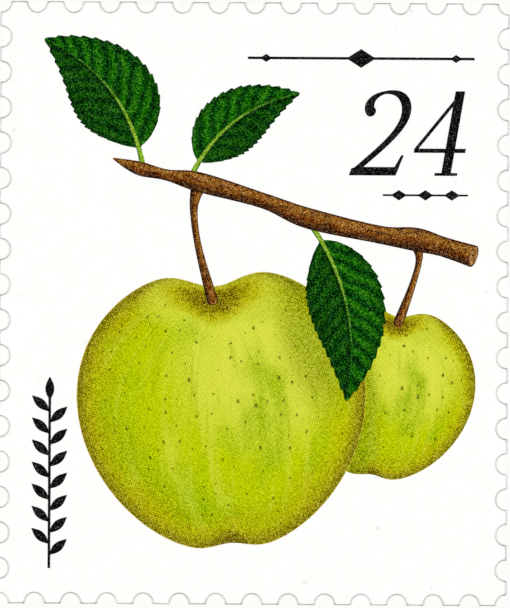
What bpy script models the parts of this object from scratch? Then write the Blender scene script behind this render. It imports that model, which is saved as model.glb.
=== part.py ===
"""A self-adhesive postage stamp: die-cut face paper, adhesive film and a printed fruit picture.

The stamp lies face up on the plane z = 0, with its head towards +Y and the origin at the bottom
centre. Outlines are drawn in millimetres, as flat curves given a thickness, and brought to metres
once they are meshes. The ink is a real film, drawn thicker than life so that each patch is a solid.
"""

import math

import bmesh
import bpy
from mathutils import Matrix, Vector

MM = 0.001

# The sheet, in millimetres. The die's teeth stand at whole pitches along each side.
SHEET_WIDTH = 21.5
SHEET_HEIGHT = 25.5
PITCHES_ACROSS = 14
PITCHES_DOWN = 17
NOTCH_RADIUS = 0.43
NOTCH_SET_IN = 0.02
PAPER_NOTCH_STEPS = 10
FILM_NOTCH_STEPS = 6

# The layers, in millimetres, with the small air gap that keeps two solids apart.
LAYER_GAP = 0.002
ADHESIVE_THICKNESS = 0.018
ADHESIVE_SET_BACK = 0.03
PAPER_THICKNESS = 0.10
INK_THICKNESS = 0.008
PAPER_BOTTOM = ADHESIVE_THICKNESS + LAYER_GAP
INK_BOTTOM = PAPER_BOTTOM + PAPER_THICKNESS + LAYER_GAP

# Ink of one colour stops this far short of another, in millimetres.
KNOCK_OUT_GAP = 0.04
CUTTER_HEIGHT = 0.1

# The two fruits: half width, half height and the depth of the dimples, in millimetres.
FRONT_APPLE = {"centre": (-1.3, -4.45), "half_width": 6.1, "half_height": 6.1, "lean": 4.0}
BACK_APPLE = {"centre": (5.6, -3.7), "half_width": 3.75, "half_height": 3.8, "lean": -9.0}
APPLE_STEPS = 72
APPLE_SHOULDER = 0.095
STALK_DIMPLE = 0.15
STALK_DIMPLE_WIDTH = 0.25
EYE_DIMPLE = 0.065
EYE_DIMPLE_WIDTH = 0.17

# The twig and the stalks, as paths of (x, y, half width) in millimetres.
TWIG_PATH = [(9.3, 2.05, 0.47), (8.0, 2.45, 0.42), (6.85, 2.75, 0.50), (5.3, 2.95, 0.38),
             (2.3, 3.62, 0.44), (0.4, 4.35, 0.33), (-2.3, 5.12, 0.42), (-3.7, 5.42, 0.24),
             (-4.75, 5.66, 0.30), (-5.35, 5.86, 0.21), (-5.95, 6.1, 0.04)]
FRONT_STALK_PATH = [(-2.35, 5.0, 0.33), (-2.55, 4.0, 0.17), (-2.35, 2.4, 0.15), (-1.75, 0.15, 0.24)]
BACK_STALK_PATH = [(6.85, 2.65, 0.30), (7.0, 1.95, 0.15), (6.75, 0.9, 0.14), (6.15, -0.75, 0.22)]
BRANCH_STEPS = 5
CUT_END = {"centre": (9.3, 2.05), "half_width": 0.47, "half_depth": 0.17, "turn": -17.0}

# The leaves: base, tip and how far the midrib bows, with the widest half width, in millimetres.
LEAVES = {
    "leaf_tall": {"base": (-4.7, 5.7), "tip": (-8.9, 11.15), "bow": -0.9, "half_width": 1.85},
    "leaf_short": {"base": (-2.7, 5.3), "tip": (1.9, 8.9), "bow": 0.75, "half_width": 1.35},
    "leaf_hanging": {"base": (2.3, 3.5), "tip": (3.95, -4.1), "bow": 0.85, "half_width": 1.65},
}
LEAF_TEETH = 16
LEAF_TOOTH_DEPTH = 0.10
LEAF_TOOTH_STEPS = 3
LEAF_STALK_HALF_WIDTH = 0.13
LEAF_STALK_SHARE = 0.12

# The value number, in millimetres, drawn with a pen that makes thick downstrokes and hairlines.
NUMERAL_SLANT = 0.17
NUMERAL_BASE_Y = 5.45
NUMERAL_X = {"2": 4.05, "4": 6.60}
THICK_STROKE = 0.40
HAIRLINE = 0.13
PEN_ANGLE = 12.0
CURVE_STEPS = 12
OVAL_STEPS = 20

# The small ornaments, in millimetres.
RULE_CENTRE = (4.5, 10.4)
RULE_LENGTH = 9.6
RULE_THICKNESS = 0.11
RULE_LOZENGE = (0.62, 0.40)
RULE_BEAD = (0.26, 0.17)
SMALL_RULE_CENTRE = (7.25, 4.62)
SMALL_RULE_LENGTH = 3.6
SMALL_RULE_THICKNESS = 0.08
SMALL_LOZENGE = (0.34, 0.22)
SPRIG_FOOT = (-8.6, -11.25)
SPRIG_HEIGHT = 8.1
SPRIG_STEM_HALF_WIDTH = 0.055
SPRIG_LEAF_PAIRS = 7
SPRIG_LEAF_LENGTH = 1.0
SPRIG_LEAF_HALF_WIDTH = 0.19
SPRIG_LEAF_ANGLE = 42.0
SPRIG_LEAF_STEPS = 8

MATERIALS = {
    "paper": {"colour": (0.96, 0.96, 0.94), "roughness": 0.55},
    "adhesive": {"colour": (0.88, 0.87, 0.80), "roughness": 0.25},
    "ink_fruit": {"colour": (0.53, 0.64, 0.03), "roughness": 0.45},
    "ink_leaf": {"colour": (0.010, 0.085, 0.004), "roughness": 0.45},
    "ink_bark": {"colour": (0.17, 0.06, 0.012), "roughness": 0.45},
    "ink_black": {"colour": (0.013, 0.013, 0.015), "roughness": 0.45},
}


def clear_scene():
    """Remove every object, so that only the stamp is in the file."""
    for old in list(bpy.data.objects):
        bpy.data.objects.remove(old, do_unlink=True)


def new_collection(name):
    """A collection under the scene's own."""
    collection = bpy.data.collections.new(name)
    bpy.context.scene.collection.children.link(collection)
    return collection


def make_material(name):
    """A Principled BSDF with the colour and roughness of one finish."""
    values = MATERIALS[name]
    material = bpy.data.materials.new(name)
    material.use_nodes = True
    shader = material.node_tree.nodes["Principled BSDF"]
    shader.inputs["Base Color"].default_value = (*values["colour"], 1.0)
    shader.inputs["Roughness"].default_value = values["roughness"]
    shader.inputs["Metallic"].default_value = 0.0
    return material


def extrude_outline(name, outline, bottom, thickness, collection):
    """One closed solid from a flat outline, both in millimetres, with its foot at height bottom.

    The outline is a filled 2D curve with an extrude of half its thickness. It becomes a mesh whose
    caps are welded to its wall, and is then brought to metres.
    """
    curve = bpy.data.curves.new(name, "CURVE")
    curve.dimensions = "2D"
    curve.fill_mode = "BOTH"
    curve.extrude = thickness / 2
    spline = curve.splines.new("POLY")
    spline.points.add(len(outline) - 1)
    for point, (x, y) in zip(spline.points, outline):
        point.co = (x, y, 0.0, 1.0)
    spline.use_cyclic_u = True
    drawn = bpy.data.objects.new(name + "_outline", curve)
    drawn.location.z = bottom + thickness / 2
    collection.objects.link(drawn)
    bpy.context.view_layer.update()

    depsgraph = bpy.context.evaluated_depsgraph_get()
    mesh = bpy.data.meshes.new_from_object(drawn.evaluated_get(depsgraph))
    mesh.name = name
    solid = bmesh.new()
    solid.from_mesh(mesh)
    bmesh.ops.remove_doubles(solid, verts=solid.verts, dist=0.0005)
    bmesh.ops.transform(solid, matrix=Matrix.Scale(MM, 4) @ drawn.matrix_world, verts=solid.verts)
    bmesh.ops.recalc_face_normals(solid, faces=solid.faces)
    solid.to_mesh(mesh)
    solid.free()
    bpy.data.objects.remove(drawn, do_unlink=True)
    bpy.data.curves.remove(curve)

    piece = bpy.data.objects.new(name, mesh)
    collection.objects.link(piece)
    return piece


def add_layer(name, outline, bottom, thickness, material, collection):
    """A named piece of the stamp with its material."""
    piece = extrude_outline(name, outline, bottom, thickness, collection)
    piece.data.materials.clear()
    piece.data.materials.append(material)
    return piece


def add_ink(name, outline, material, collection):
    """A patch of ink on the face."""
    return add_layer(name, outline, INK_BOTTOM, INK_THICKNESS, material, collection)


def apply_modifiers(piece):
    """Turn the piece's evaluated mesh into its own mesh."""
    bpy.context.view_layer.update()
    depsgraph = bpy.context.evaluated_depsgraph_get()
    applied = bpy.data.meshes.new_from_object(piece.evaluated_get(depsgraph))
    piece.modifiers.clear()
    old = piece.data
    applied.name = old.name
    piece.data = applied
    bpy.data.meshes.remove(old)


def boolean(piece, operand, operation):
    """Join or cut the piece by another solid, which is then removed."""
    modifier = piece.modifiers.new("boolean", "BOOLEAN")
    modifier.operation = operation
    modifier.solver = "EXACT"
    modifier.object = operand
    apply_modifiers(piece)
    bpy.data.objects.remove(operand, do_unlink=True)


def fuse_outlines(name, outlines, material, collection):
    """One patch of ink from several overlapping outlines."""
    piece = add_ink(name, outlines[0], material, collection)
    for outline in outlines[1:]:
        stroke = add_ink(name + "_stroke", outline, material, collection)
        boolean(piece, stroke, "UNION")
    return piece


def knock_out(piece, outlines, cutters):
    """Leave a patch of ink open where another colour lies over it."""
    bottom = INK_BOTTOM - (CUTTER_HEIGHT - INK_THICKNESS) / 2
    for outline in outlines:
        cutter = extrude_outline(piece.name + "_cutter", outline, bottom, CUTTER_HEIGHT, cutters)
        cutter.hide_render = True
        cutter.display_type = "WIRE"
        boolean(piece, cutter, "DIFFERENCE")


def notch_arc(centre, along, inward, radius, first, last, steps):
    """Points of an arc about centre, its angles in radians from along towards inward."""
    angles = [first + (last - first) * step / steps for step in range(steps + 1)]
    return [centre + along * (radius * math.cos(a)) + inward * (radius * math.sin(a)) for a in angles]


def perforated_outline(set_back, steps):
    """The die-cut edge, counter-clockwise: flat lands between notches at whole pitches.

    Each notch is a little more than half a circle, because its centre lies just inside the edge.
    A corner has a quarter of one. set_back moves the whole edge inwards.
    """
    half_w = SHEET_WIDTH / 2
    half_h = SHEET_HEIGHT / 2
    sides = [((-half_w, -half_h), (1, 0), SHEET_WIDTH, PITCHES_ACROSS),
             ((half_w, -half_h), (0, 1), SHEET_HEIGHT, PITCHES_DOWN),
             ((half_w, half_h), (-1, 0), SHEET_WIDTH, PITCHES_ACROSS),
             ((-half_w, half_h), (0, -1), SHEET_HEIGHT, PITCHES_DOWN)]
    radius = NOTCH_RADIUS + set_back
    mouth = math.asin((set_back - NOTCH_SET_IN) / radius)
    outline = []
    for corner, direction, length, pitches in sides:
        start = Vector(corner)
        along = Vector(direction)
        inward = Vector((-along.y, along.x))
        at_corner = start + (along + inward) * NOTCH_SET_IN
        outline += notch_arc(at_corner, along, inward, radius, math.pi / 2 - mouth, mouth, steps // 2)
        for tooth in range(1, pitches):
            centre = start + along * (tooth * length / pitches) + inward * NOTCH_SET_IN
            outline += notch_arc(centre, along, inward, radius, math.pi - mouth, mouth, steps)
    return [(point.x, point.y) for point in outline]


def apple_outline(fruit, grow=0.0):
    """A round fruit, widest above its middle, with a deep dimple on top and a shallow one below.

    The dimples are bell curves of the distance from the core line, taken off the height.
    """
    half_w = fruit["half_width"] + grow
    half_h = fruit["half_height"] + grow
    turn = Matrix.Rotation(math.radians(fruit["lean"]), 2)
    centre = Vector(fruit["centre"])
    outline = []
    for step in range(APPLE_STEPS):
        angle = 2 * math.pi * step / APPLE_STEPS
        across = math.cos(angle) * (1 + APPLE_SHOULDER * math.sin(angle))
        up = math.sin(angle)
        if up > 0:
            up -= STALK_DIMPLE * math.exp(-(across / STALK_DIMPLE_WIDTH) ** 2) * up
        else:
            up -= EYE_DIMPLE * math.exp(-(across / EYE_DIMPLE_WIDTH) ** 2) * up
        point = centre + turn @ Vector((half_w * across, half_h * up))
        outline.append((point.x, point.y))
    return outline


def smooth_path(knots, steps):
    """Catmull-Rom points through knots of any length, with the end knots doubled."""
    points = [Vector(knots[0])] + [Vector(knot) for knot in knots] + [Vector(knots[-1])]
    path = []
    for a, b, c, d in zip(points, points[1:], points[2:], points[3:]):
        for step in range(steps):
            t = step / steps
            path.append(0.5 * (2 * b + (c - a) * t + (2 * a - 5 * b + 4 * c - d) * t ** 2
                               + (3 * b - a - 3 * c + d) * t ** 3))
    return path + [points[-1]]


def path_normals(path):
    """The left-hand unit normal at each point of a path."""
    normals = []
    for i in range(len(path)):
        ahead = path[min(i + 1, len(path) - 1)]
        behind = path[max(i - 1, 0)]
        run = Vector((ahead[0] - behind[0], ahead[1] - behind[1])).normalized()
        normals.append(Vector((-run.y, run.x)))
    return normals


def ribbon(path, half_widths):
    """The outline of a stroke of changing width along a path."""
    left = []
    right = []
    for point, normal, half in zip(path, path_normals(path), half_widths):
        centre = Vector((point[0], point[1]))
        left.append(tuple(centre + normal * half))
        right.append(tuple(centre - normal * half))
    return right + left[::-1]


def branch_outline(knots, grow=0.0):
    """The outline of a twig or a stalk, whose knots hold x, y and half width."""
    path = smooth_path(knots, BRANCH_STEPS)
    return ribbon(path, [point[2] + grow for point in path])


def bowed_line(base, tip, bow, steps):
    """A midrib from base to tip, bowed to its left by a parabola, bow high."""
    base = Vector(base)
    run = Vector(tip) - base
    side = Vector((-run.y, run.x)).normalized()
    shares = [step / steps for step in range(steps + 1)]
    return [base + run * s + side * (4 * bow * s * (1 - s)) for s in shares]


def leaf_half_width(share):
    """A leaf's half width over its greatest: a short stalk, a full belly and a drawn-out tip."""
    blade = (share - LEAF_STALK_SHARE) / (1 - LEAF_STALK_SHARE)
    if blade <= 0:
        return 0.0
    return math.sin(math.pi * blade ** 0.8) ** 0.85 * (1 - 0.18 * blade) * 1.06


def leaf_outline(leaf, grow=0.0):
    """A pointed leaf with a saw-toothed edge, whose teeth lean towards its tip."""
    steps = LEAF_TEETH * LEAF_TOOTH_STEPS
    midrib = bowed_line(leaf["base"], leaf["tip"], leaf["bow"], steps)
    half_widths = []
    for step in range(steps + 1):
        share = step / steps
        blade = leaf_half_width(min(share, 0.999))
        tooth = LEAF_TOOTH_DEPTH * ((step % LEAF_TOOTH_STEPS) / (LEAF_TOOTH_STEPS - 1) - 0.5)
        edge = leaf["half_width"] * blade + tooth * min(1.0, 3 * blade)
        stalk = LEAF_STALK_HALF_WIDTH * (1 - share) ** 2
        half_widths.append(max(edge, stalk, 0.02) + grow)
    return ribbon(midrib, half_widths)


def bezier(p0, p1, p2, p3):
    """Points of one cubic curve, without its last."""
    p0, p1, p2, p3 = (Vector(p) for p in (p0, p1, p2, p3))
    shares = [step / CURVE_STEPS for step in range(CURVE_STEPS)]
    return [p0 * (1 - t) ** 3 + 3 * p1 * t * (1 - t) ** 2 + 3 * p2 * t ** 2 * (1 - t) + p3 * t ** 3
            for t in shares]


def pen_stroke(path):
    """A stroke drawn with a broad pen held at PEN_ANGLE: thick downwards, thin across."""
    pen = math.radians(PEN_ANGLE)
    half_widths = []
    for normal in path_normals(path):
        heading = math.atan2(-normal.x, normal.y)
        thick = abs(math.sin(heading - pen)) ** 1.3
        half_widths.append((HAIRLINE + (THICK_STROKE - HAIRLINE) * thick) / 2)
    return ribbon(path, half_widths)


def straight_stroke(start, end, width):
    """A straight bar of one width."""
    return ribbon([Vector(start), Vector(end)], [width / 2, width / 2])


def oval(centre, half_x, half_y, turn=0.0):
    """An ellipse about centre, turned by an angle in degrees."""
    rotation = Matrix.Rotation(math.radians(turn), 2)
    outline = []
    for step in range(OVAL_STEPS):
        angle = 2 * math.pi * step / OVAL_STEPS
        point = Vector(centre) + rotation @ Vector((half_x * math.cos(angle), half_y * math.sin(angle)))
        outline.append((point.x, point.y))
    return outline


def numeral_two():
    """The strokes of a figure two in its own box, 2.1 wide and 3.6 high."""
    neck = bezier((0.38, 2.72), (0.16, 3.12), (0.56, 3.53), (1.08, 3.53))
    bowl = bezier((1.08, 3.53), (1.62, 3.53), (1.92, 3.14), (1.92, 2.66))
    tail = bezier((1.92, 2.66), (1.92, 1.85), (0.95, 1.02), (0.14, 0.16))
    path = neck + bowl + tail + [Vector((0.14, 0.16))]
    foot = [(-0.05, 0.0), (1.93, 0.0), (2.13, 0.86), (2.02, 0.86), (1.82, 0.36), (0.28, 0.36), (0.01, 0.30)]
    return [pen_stroke(path), oval((0.42, 2.70), 0.21, 0.21), foot]


def numeral_four():
    """The strokes of a figure four in its own box, 2.2 wide and 3.6 high."""
    return [straight_stroke((1.50, 0.03), (1.50, 3.58), THICK_STROKE),
            straight_stroke((0.02, 1.07), (1.62, 3.56), HAIRLINE + 0.02),
            straight_stroke((-0.02, 1.06), (2.16, 1.06), HAIRLINE + 0.05),
            straight_stroke((1.02, 0.06), (1.98, 0.06), HAIRLINE - 0.01)]


def place_numeral(strokes, left):
    """Slant a figure's strokes and set them on the number's base line."""
    return [[(left + x + NUMERAL_SLANT * y, NUMERAL_BASE_Y + y) for x, y in stroke] for stroke in strokes]


def lozenge_chain(centre, length, thickness, lozenges):
    """A thin rule that swells into lozenges, each given by its place, half length and half height."""
    top = [(-length / 2, thickness / 2)]
    for place, half_length, half_height in lozenges:
        shoulder = half_length * (1 - thickness / 2 / half_height)
        top += [(place - shoulder, thickness / 2), (place, half_height), (place + shoulder, thickness / 2)]
    top.append((length / 2, thickness / 2))
    bottom = [(x, -y) for x, y in reversed(top)]
    return [(centre[0] + x, centre[1] + y) for x, y in top + bottom]


def rule_outline():
    """The long rule: a lozenge in the middle and a bead near each end."""
    bead_place = RULE_LENGTH / 2 - 3 * RULE_BEAD[0]
    lozenges = [(-bead_place, *RULE_BEAD), (0.0, *RULE_LOZENGE), (bead_place, *RULE_BEAD)]
    return lozenge_chain(RULE_CENTRE, RULE_LENGTH, RULE_THICKNESS, lozenges)


def small_rule_outline():
    """The short rule: three small lozenges."""
    spread = SMALL_RULE_LENGTH / 2 - 2 * SMALL_LOZENGE[0]
    lozenges = [(place, *SMALL_LOZENGE) for place in (-spread, 0.0, spread)]
    return lozenge_chain(SMALL_RULE_CENTRE, SMALL_RULE_LENGTH, SMALL_RULE_THICKNESS, lozenges)


def sprig_leaflet(foot, angle, length):
    """A small lens-shaped leaflet that grows from foot at an angle above the level."""
    run = Vector((math.cos(angle), math.sin(angle))) * length
    shares = [step / SPRIG_LEAF_STEPS for step in range(SPRIG_LEAF_STEPS + 1)]
    path = [Vector(foot) + run * share for share in shares]
    half_widths = [max(0.012, SPRIG_LEAF_HALF_WIDTH * math.sin(math.pi * share)) for share in shares]
    return ribbon(path, half_widths)


def sprig_outlines():
    """An upright sprig: a thin stem, pairs of leaflets set in turn, and one at its head."""
    foot = Vector(SPRIG_FOOT)
    stem_top = SPRIG_HEIGHT - SPRIG_LEAF_LENGTH
    outlines = [straight_stroke(foot, foot + Vector((0, stem_top + 0.2)), 2 * SPRIG_STEM_HALF_WIDTH)]
    for pair in range(SPRIG_LEAF_PAIRS):
        for side in (0, 1):
            height = (pair + 0.6 + 0.5 * side) * stem_top / (SPRIG_LEAF_PAIRS + 0.6)
            rise = math.radians(SPRIG_LEAF_ANGLE)
            angle = math.pi - rise if side else rise
            outlines.append(sprig_leaflet(foot + Vector((0, height)), angle, SPRIG_LEAF_LENGTH))
    outlines.append(sprig_leaflet(foot + Vector((0, stem_top)), math.pi / 2, SPRIG_LEAF_LENGTH))
    return outlines


def stalk_foot(knots, grow=0.0):
    """The rounded end of a stalk, where it enters the fruit."""
    x, y, half_width = knots[-1]
    return oval((x, y), half_width + grow, half_width + grow)


def branch_outlines(grow=0.0):
    """The twig with its cut end, and its two stalks with their rounded feet."""
    stalks = (FRONT_STALK_PATH, BACK_STALK_PATH)
    cut_end = oval(CUT_END["centre"], CUT_END["half_depth"] + grow, CUT_END["half_width"] + grow,
                   CUT_END["turn"])
    return [branch_outline(TWIG_PATH, grow), cut_end, *[branch_outline(knots, grow) for knots in stalks],
            *[stalk_foot(knots, grow) for knots in stalks]]


def build_sheet(materials, parts):
    """The face paper and the adhesive film under it."""
    add_layer("adhesive_film", perforated_outline(ADHESIVE_SET_BACK, FILM_NOTCH_STEPS),
              0.0, ADHESIVE_THICKNESS, materials["adhesive"], parts)
    add_layer("face_paper", perforated_outline(0.0, PAPER_NOTCH_STEPS),
              PAPER_BOTTOM, PAPER_THICKNESS, materials["paper"], parts)


def build_picture(materials, parts, cutters):
    """Two apples on a twig with three leaves, each colour left open under the one over it."""
    bark = branch_outlines(KNOCK_OUT_GAP)
    hanging = leaf_outline(LEAVES["leaf_hanging"], KNOCK_OUT_GAP)
    front = add_ink("print_apple_front", apple_outline(FRONT_APPLE), materials["ink_fruit"], parts)
    knock_out(front, bark + [hanging], cutters)
    back = add_ink("print_apple_back", apple_outline(BACK_APPLE), materials["ink_fruit"], parts)
    knock_out(back, [apple_outline(FRONT_APPLE, KNOCK_OUT_GAP), hanging] + bark, cutters)
    fuse_outlines("print_twig", branch_outlines(), materials["ink_bark"], parts)
    for name, leaf in LEAVES.items():
        patch = add_ink("print_" + name, leaf_outline(leaf), materials["ink_leaf"], parts)
        knock_out(patch, bark[:1], cutters)


def build_number(materials, parts):
    """The plain value number."""
    figures = {"2": numeral_two(), "4": numeral_four()}
    for figure, strokes in figures.items():
        placed = place_numeral(strokes, NUMERAL_X[figure])
        fuse_outlines("print_numeral_" + figure, placed, materials["ink_black"], parts)


def build_ornaments(materials, parts):
    """The two rules and the upright sprig."""
    add_ink("print_rule", rule_outline(), materials["ink_black"], parts)
    add_ink("print_small_rule", small_rule_outline(), materials["ink_black"], parts)
    fuse_outlines("print_sprig", sprig_outlines(), materials["ink_black"], parts)


def build_stamp():
    """The whole stamp."""
    clear_scene()
    parts = new_collection("postage_stamp")
    cutters = new_collection("cutters")
    materials = {name: make_material(name) for name in MATERIALS}
    build_sheet(materials, parts)
    build_picture(materials, parts, cutters)
    build_number(materials, parts)
    build_ornaments(materials, parts)


build_stamp()
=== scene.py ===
# %% [markdown]
# A postage stamp, seen the way a scanner sees it
#
# The part is one self-adhesive stamp: a sheet of coated paper 0.1 mm thick, die cut with round
# teeth, a film of glue under it and a picture in screened ink on its face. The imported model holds
# it at its real size. This lesson keeps every layer where it lies and gives it its finish: a soft
# rolled edge on the paper, and ink that is printed in four colours of tiny dots.

import bmesh
import bpy
import numpy as np
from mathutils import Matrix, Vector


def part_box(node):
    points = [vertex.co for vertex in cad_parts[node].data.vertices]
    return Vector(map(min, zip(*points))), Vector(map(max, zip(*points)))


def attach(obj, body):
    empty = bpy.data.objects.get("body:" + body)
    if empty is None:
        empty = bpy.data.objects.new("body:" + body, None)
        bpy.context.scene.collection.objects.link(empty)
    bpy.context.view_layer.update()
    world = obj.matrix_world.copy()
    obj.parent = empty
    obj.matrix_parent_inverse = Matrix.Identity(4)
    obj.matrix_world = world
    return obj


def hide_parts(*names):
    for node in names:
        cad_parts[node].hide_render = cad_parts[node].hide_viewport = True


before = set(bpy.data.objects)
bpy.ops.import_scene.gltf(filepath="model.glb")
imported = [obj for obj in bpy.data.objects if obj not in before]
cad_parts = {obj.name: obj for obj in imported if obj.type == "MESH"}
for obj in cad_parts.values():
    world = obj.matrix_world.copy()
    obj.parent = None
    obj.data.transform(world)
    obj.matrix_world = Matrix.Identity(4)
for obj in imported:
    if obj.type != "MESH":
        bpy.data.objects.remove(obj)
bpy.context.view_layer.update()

MM = 0.001
paper_low, paper_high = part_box("face_paper")
glue_low, glue_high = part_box("adhesive_film")
ink_low, ink_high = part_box("print_numeral_2")
SHEET = np.array([paper_high[0] - paper_low[0], paper_high[1] - paper_low[1]])
PAPER_TOP = paper_high[2]
print("sheet", np.round(SHEET / MM, 2), "mm, paper top at", round(PAPER_TOP / MM, 3), "mm")

# %% [markdown]
# Where the camera stands
#
# The photograph is a flat scan, so every line of sight is nearly square to the paper. A wide lens
# close by would show the teeth from inside. A long lens far away does what the scanner does, so
# the camera is a 200 mm lens that looks straight down, at the height where the frame shows 600
# dots to the inch. The stamp lay a third of a degree askew on the glass and a hair to the left,
# and the camera takes up both.

# %% The camera
LONG_SIDE_DOTS = 608
DOTS_PER_MM = 600 / 25.4
LENS = 200.0
SENSOR = 36.0
CLIP_NEAR = 0.001
CLIP_FAR = 10.0
SCAN_SKEW = np.radians(0.33)
SCAN_SHIFT = (0.064 * MM, -0.02 * MM)


def add_camera():
    """Height over the paper = lens / sensor * the length of paper that the long side shows."""
    data = bpy.data.cameras.new("scan_camera")
    data.lens = LENS
    data.sensor_width = SENSOR
    data.clip_start = CLIP_NEAR
    data.clip_end = CLIP_FAR
    camera = bpy.data.objects.new("scan_camera", data)
    shown = LONG_SIDE_DOTS / DOTS_PER_MM * MM
    camera.location = (*SCAN_SHIFT, PAPER_TOP + shown * LENS / SENSOR)
    camera.rotation_euler = (0.0, 0.0, SCAN_SKEW)
    bpy.context.scene.collection.objects.link(camera)
    bpy.context.scene.camera = camera
    return camera


scan_camera = add_camera()
print("camera", round(scan_camera.location.z / MM, 1), "mm above the table")

# %% [markdown]
# Floor and light
#
# The ground is plain and white, as a scanner's lid is. A scanner's lamp is a bar that lies across
# the glass, so most of the light comes from the left and the right. Four soft boxes high in the
# sky stand for it: two strong ones at the sides and two weak ones at the head and the foot, with a
# white sky between them. The flat paper is evenly bright, yet every cut that runs level turns away
# from the strong boxes, and that is why the scan draws the level cuts darker than the upright ones.
# Most of that shade along the cut is also painted into the paper's colour.

# %% The floor and the soft boxes
FLOOR_DROP = 0.001 * MM
FLOOR_HALF = 0.6
BOX_DISTANCE = 0.25
BOX_SIZE = 0.12
BOX_HEIGHT = np.radians(58)
SIDE_POWER = 0.265
END_POWER = 0.026
SKY_STRENGTH = 0.3


def add_floor():
    """One plain square, just below the stamp."""
    mesh = bpy.data.meshes.new("floor")
    corners = np.array([(-1, -1), (1, -1), (1, 1), (-1, 1)]) * FLOOR_HALF
    mesh.from_pydata(np.column_stack([corners, np.full(4, -FLOOR_DROP)]).tolist(), [], [(0, 1, 2, 3)])
    floor = bpy.data.objects.new("floor", mesh)
    bpy.context.scene.collection.objects.link(floor)
    return floor


def add_soft_box(azimuth, power):
    """A square light on one azimuth, at distance * (cos height, sin height), turned to the stamp."""
    data = bpy.data.lights.new("soft_box", "AREA")
    data.shape = "SQUARE"
    data.size = BOX_SIZE
    data.energy = power
    light = bpy.data.objects.new("soft_box", data)
    level = BOX_DISTANCE * np.cos(BOX_HEIGHT)
    turn = np.radians(azimuth)
    light.location = (level * np.sin(turn), -level * np.cos(turn), BOX_DISTANCE * np.sin(BOX_HEIGHT))
    light.rotation_euler = (np.pi / 2 - BOX_HEIGHT, 0.0, turn)
    bpy.context.scene.collection.objects.link(light)


def add_sky():
    """An even white sky."""
    world = bpy.data.worlds.new("white_sky")
    world.use_nodes = True
    background = world.node_tree.nodes["Background"].inputs
    background["Color"].default_value = (1.0, 1.0, 1.0, 1.0)
    background["Strength"].default_value = SKY_STRENGTH
    bpy.context.scene.world = world


floor = add_floor()
for azimuth, power in ((90, SIDE_POWER), (270, SIDE_POWER), (0, END_POWER), (180, END_POWER)):
    add_soft_box(azimuth, power)
add_sky()
bpy.context.scene.view_settings.view_transform = "Standard"
print("soft boxes of", SIDE_POWER, "and", END_POWER, "W and a sky of", SKY_STRENGTH)

# %% [markdown]
# A sheet from two parameters
#
# Every new piece is a surface of two parameters: one runs along or round the piece, the other
# across it. Numpy works out all its points at once, as rows and columns, and one helper joins
# neighbours into faces. Where a row shrinks to a point its doubles are merged, so that poles and
# seams are closed. The layers here are thousandths of a millimetre apart, so the merge distance
# is far below that.

# %% Mesh helpers
MERGE_DISTANCE = 1e-8
SHARP_ANGLE = np.radians(40)


def grid_faces(rows, columns):
    """Quads from row r to row r + 1 and column c to column c + 1, the last column joined to the first."""
    r = np.arange(rows - 1)[:, None] * columns
    c = np.arange(columns)[None, :]
    after = (c + 1) % columns
    return np.stack([r + c, r + after, r + columns + after, r + columns + c], axis=-1).reshape(-1, 4)


def grid_piece(name, points, **attributes):
    """A closed surface from points (rows, columns, 3); each attribute is an array of the same shape."""
    rows, columns = points.shape[:2]
    mesh = bpy.data.meshes.new(name)
    mesh.from_pydata(points.reshape(-1, 3).tolist(), [], grid_faces(rows, columns).tolist())
    for key, values in attributes.items():
        layer = mesh.attributes.new(key, "FLOAT_VECTOR", "POINT")
        layer.data.foreach_set("vector", np.ascontiguousarray(values, dtype=np.float32).ravel())
    work = bmesh.new()
    work.from_mesh(mesh)
    bmesh.ops.remove_doubles(work, verts=work.verts, dist=MERGE_DISTANCE)
    bmesh.ops.recalc_face_normals(work, faces=work.faces)
    work.to_mesh(mesh)
    work.free()
    mesh.shade_smooth()
    mesh.set_sharp_from_angle(angle=SHARP_ANGLE)
    piece = bpy.data.objects.new(name, mesh)
    bpy.context.scene.collection.objects.link(piece)
    print(name, len(mesh.vertices), "points,", len(mesh.polygons), "faces")
    return piece


def place(piece, material, slot, *nodes):
    """Give a piece its material and the body it rides on, and hide the nodes it stands for; slot is not used.
    """
    piece.data.materials.append(material)
    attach(piece, "root")
    if nodes:
        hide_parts(*nodes)


# %% [markdown]
# The die-cut outline
#
# A self-adhesive stamp isn't punched with real perforations: a steel rule bent into rows of half
# circles cuts it out. The outline repeats at the die's pitch, 14 times across and 17 times down,
# with a quarter notch at each corner. Setting the edge back by a distance makes every notch larger
# by the same distance, so one function serves the cut itself and each step of its rounding. Each
# point also remembers how far round the plain rectangle it lies, which later ties it to the
# sheet's flat middle.

# %% The outline of the die
PITCHES = (14, 17, 14, 17)
NOTCH_RADIUS = 0.43 * MM
NOTCH_SET_IN = 0.02 * MM
NOTCH_STEPS = 28
LAND_STEPS = 4
CORNERS = np.array([(-0.5, -0.5), (0.5, -0.5), (0.5, 0.5), (-0.5, 0.5)]) * SHEET
ALONG = np.array([(1.0, 0.0), (0.0, 1.0), (-1.0, 0.0), (0.0, -1.0)])
INWARD = np.array([(0.0, 1.0), (-1.0, 0.0), (0.0, -1.0), (1.0, 0.0)])
LENGTHS = np.array([SHEET[0], SHEET[1], SHEET[0], SHEET[1]])
CORNER_RUNS = np.concatenate([[0.0], np.cumsum(LENGTHS)])


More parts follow.
